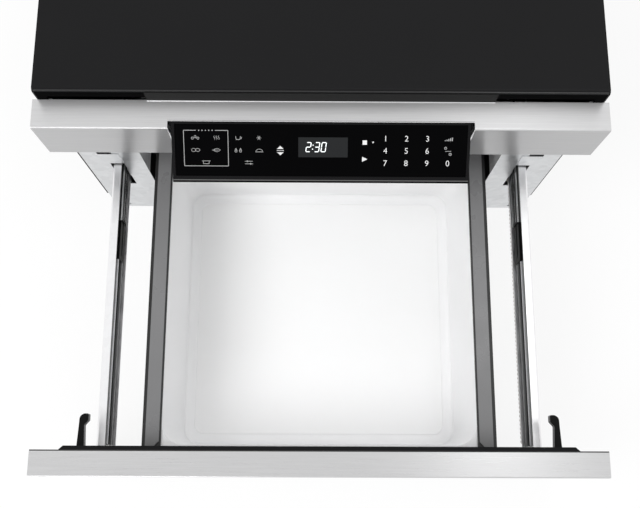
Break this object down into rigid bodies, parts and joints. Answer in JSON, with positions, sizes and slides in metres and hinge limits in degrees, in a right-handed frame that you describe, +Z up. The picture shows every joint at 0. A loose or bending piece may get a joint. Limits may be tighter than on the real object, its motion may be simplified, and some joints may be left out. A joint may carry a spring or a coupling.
{
  "type": "microwave drawer",
  "caption": "Built-in microwave oven whose motor-driven drawer slides out under a tilting control panel, in a black steel case.",
  "frame": {"origin": "centre of the open appliance's footprint, on the surface that its feet stand on", "axes": "+X to the right seen from the front, +Y to the back, +Z up; the drawer opens towards -Y"},
  "size_m": [0.759, 1.036, 0.432],
  "materials": {
    "stainless": "horizontal brushed finish",
    "case_black": "satin black powder coat",
    "galvanised": "bright galvanised sheet",
    "inner_black": "gloss black",
    "frame_black": "matt moulded",
    "tub_white": "smooth white moulding",
    "ceramic_white": "smooth white ceramic",
    "flange_grey": "satin grey",
    "trim_black": "matt black",
    "hook_black": "gloss black",
    "slide_zinc": "zinc plated",
    "channel_bright": "bright zinc plated",
    "ball_steel": "polished",
    "panel_black": "satin moulded",
    "panel_glass": "gloss touch surface",
    "display_dark": "dark display window",
    "board_green": "circuit board",
    "gear_nylon": "natural nylon",
    "motor_steel": "plated steel",
    "winding_copper": "enamelled copper wire",
    "core_iron": "varnished laminations",
    "aluminium_bright": "bright sheet and fins",
    "enamel_grey": "grey enamel",
    "cover_white": "moulded microwave-clear cover",
    "fan_grey": "moulded",
    "foot_rubber": "matt rubber",
    "screw_zinc": "zinc plated"
  },
  "bodies": {
    "chassis": {"outer_case": "case_black", "base_plate": "galvanised", "base_feet": "foot_rubber", "rear_panel": "galvanised", "cord_gland": "trim_black", "front_plate": "galvanised", "rail_guides": "galvanised", "bezel": "stainless", "chassis_screws": "screw_zinc", "cavity_shell": "enamel_grey", "stirrer_cover": "cover_white", "stirrer_motor": "motor_steel", "waveguide": "enamel_grey", "magnetron": "aluminium_bright", "transformer_core": "core_iron", "transformer_windings": "winding_copper", "capacitor": "aluminium_bright", "capacitor_clamp": "galvanised", "oven_lamp": "motor_steel", "filter_board": "board_green", "fan_shroud": "fan_grey", "fan_motor": "motor_steel", "air_duct": "fan_grey", "slide_mounts": "galvanised", "slide_outer_left": "slide_zinc", "slide_outer_right": "slide_zinc", "drive_gearbox": "panel_black", "drive_motor": "motor_steel", "interlock_switches": "panel_black", "interlock_brackets": "galvanised", "hinge_brackets": "galvanised", "panel_motor": "motor_steel"},
    "drawer": {"door_skin": "stainless", "door_frame": "frame_black", "door_inner_plate": "inner_black", "drawer_tub": "tub_white", "floor_tray": "ceramic_white", "flange_trims": "trim_black", "side_flanges": "flange_grey", "latch_hooks": "hook_black", "drawer_screws": "screw_zinc", "slide_inner_left": "slide_zinc", "slide_inner_right": "slide_zinc", "rail_channel_left": "channel_bright", "rail_channel_right": "channel_bright", "drive_rack": "gear_nylon"},
    "slide_middles": {"slide_middle_left": "slide_zinc", "slide_middle_right": "slide_zinc"},
    "cages_outer": {"ball_cages_outer": "ball_steel"},
    "cages_inner": {"ball_cages_inner": "ball_steel"},
    "pinion": {"drive_pinion": "gear_nylon"},
    "panel": {"panel_housing": "panel_black", "panel_glass": "panel_glass", "display_module": "display_dark", "control_board": "board_green"},
    "panel_drive": {"panel_gear": "gear_nylon"},
    "fan": {"fan_wheel": "fan_grey"},
    "stirrer_rotor": {"stirrer": "aluminium_bright"},
    "plunger_left": {"interlock_plunger_left": "gear_nylon"},
    "plunger_right": {"interlock_plunger_right": "gear_nylon"}
  },
  "joints": [
    {"name": "drawer_slide", "type": "slide", "parent": "chassis", "child": "drawer", "axis": [0, 1, 0], "range_m": [0, 0.416]},
    {"name": "middles_slide", "type": "slide", "parent": "chassis", "child": "slide_middles", "axis": [0, 1, 0], "range_m": [0, 0.208]},
    {"name": "cages_outer_slide", "type": "slide", "parent": "slide_middles", "child": "cages_outer", "axis": [0, 1, 0], "range_m": [-0.104, 0]},
    {"name": "cages_inner_slide", "type": "slide", "parent": "slide_middles", "child": "cages_inner", "axis": [0, 1, 0], "range_m": [0, 0.104]},
    {"name": "pinion_spin", "type": "hinge", "parent": "chassis", "child": "pinion", "pos_m": [0.306, -0.0333, 0.125], "axis": [1, 0, 0], "range_deg": [-1500, 0]},
    {"name": "panel_tilt", "type": "hinge", "parent": "chassis", "child": "panel", "pos_m": [0, -0.065, 0.3958], "axis": [1, 0, 0], "range_deg": [0, 60]},
    {"name": "panel_gear_spin", "type": "hinge", "parent": "chassis", "child": "panel_drive", "pos_m": [-0.19, -0.047, 0.36462], "axis": [1, 0, 0], "range_deg": [-157, 0]},
    {"name": "fan_spin", "type": "hinge", "parent": "chassis", "child": "fan", "pos_m": [0, 0.472, 0.345], "axis": [0, 1, 0], "continuous": true},
    {"name": "stirrer_spin", "type": "hinge", "parent": "chassis", "child": "stirrer_rotor", "pos_m": [0, 0.1477, 0.257], "axis": [0, 0, 1], "continuous": true},
    {"name": "plunger_left_push", "type": "slide", "parent": "chassis", "child": "plunger_left", "axis": [0, 1, 0], "range_m": [0, 0.003], "stiffness_N_per_m": 150},
    {"name": "plunger_right_push", "type": "slide", "parent": "chassis", "child": "plunger_right", "axis": [0, 1, 0], "range_m": [0, 0.003], "stiffness_N_per_m": 150}
  ],
  "couplings": [
    {"joint": "middles_slide", "follows": "drawer_slide", "ratio": 0.5},
    {"joint": "cages_outer_slide", "follows": "drawer_slide", "ratio": -0.25},
    {"joint": "cages_inner_slide", "follows": "drawer_slide", "ratio": 0.25},
    {"joint": "pinion_spin", "follows": "drawer_slide", "rad_per_m": -62.5},
    {"joint": "panel_gear_spin", "follows": "panel_tilt", "ratio": -2.6}
  ]
}
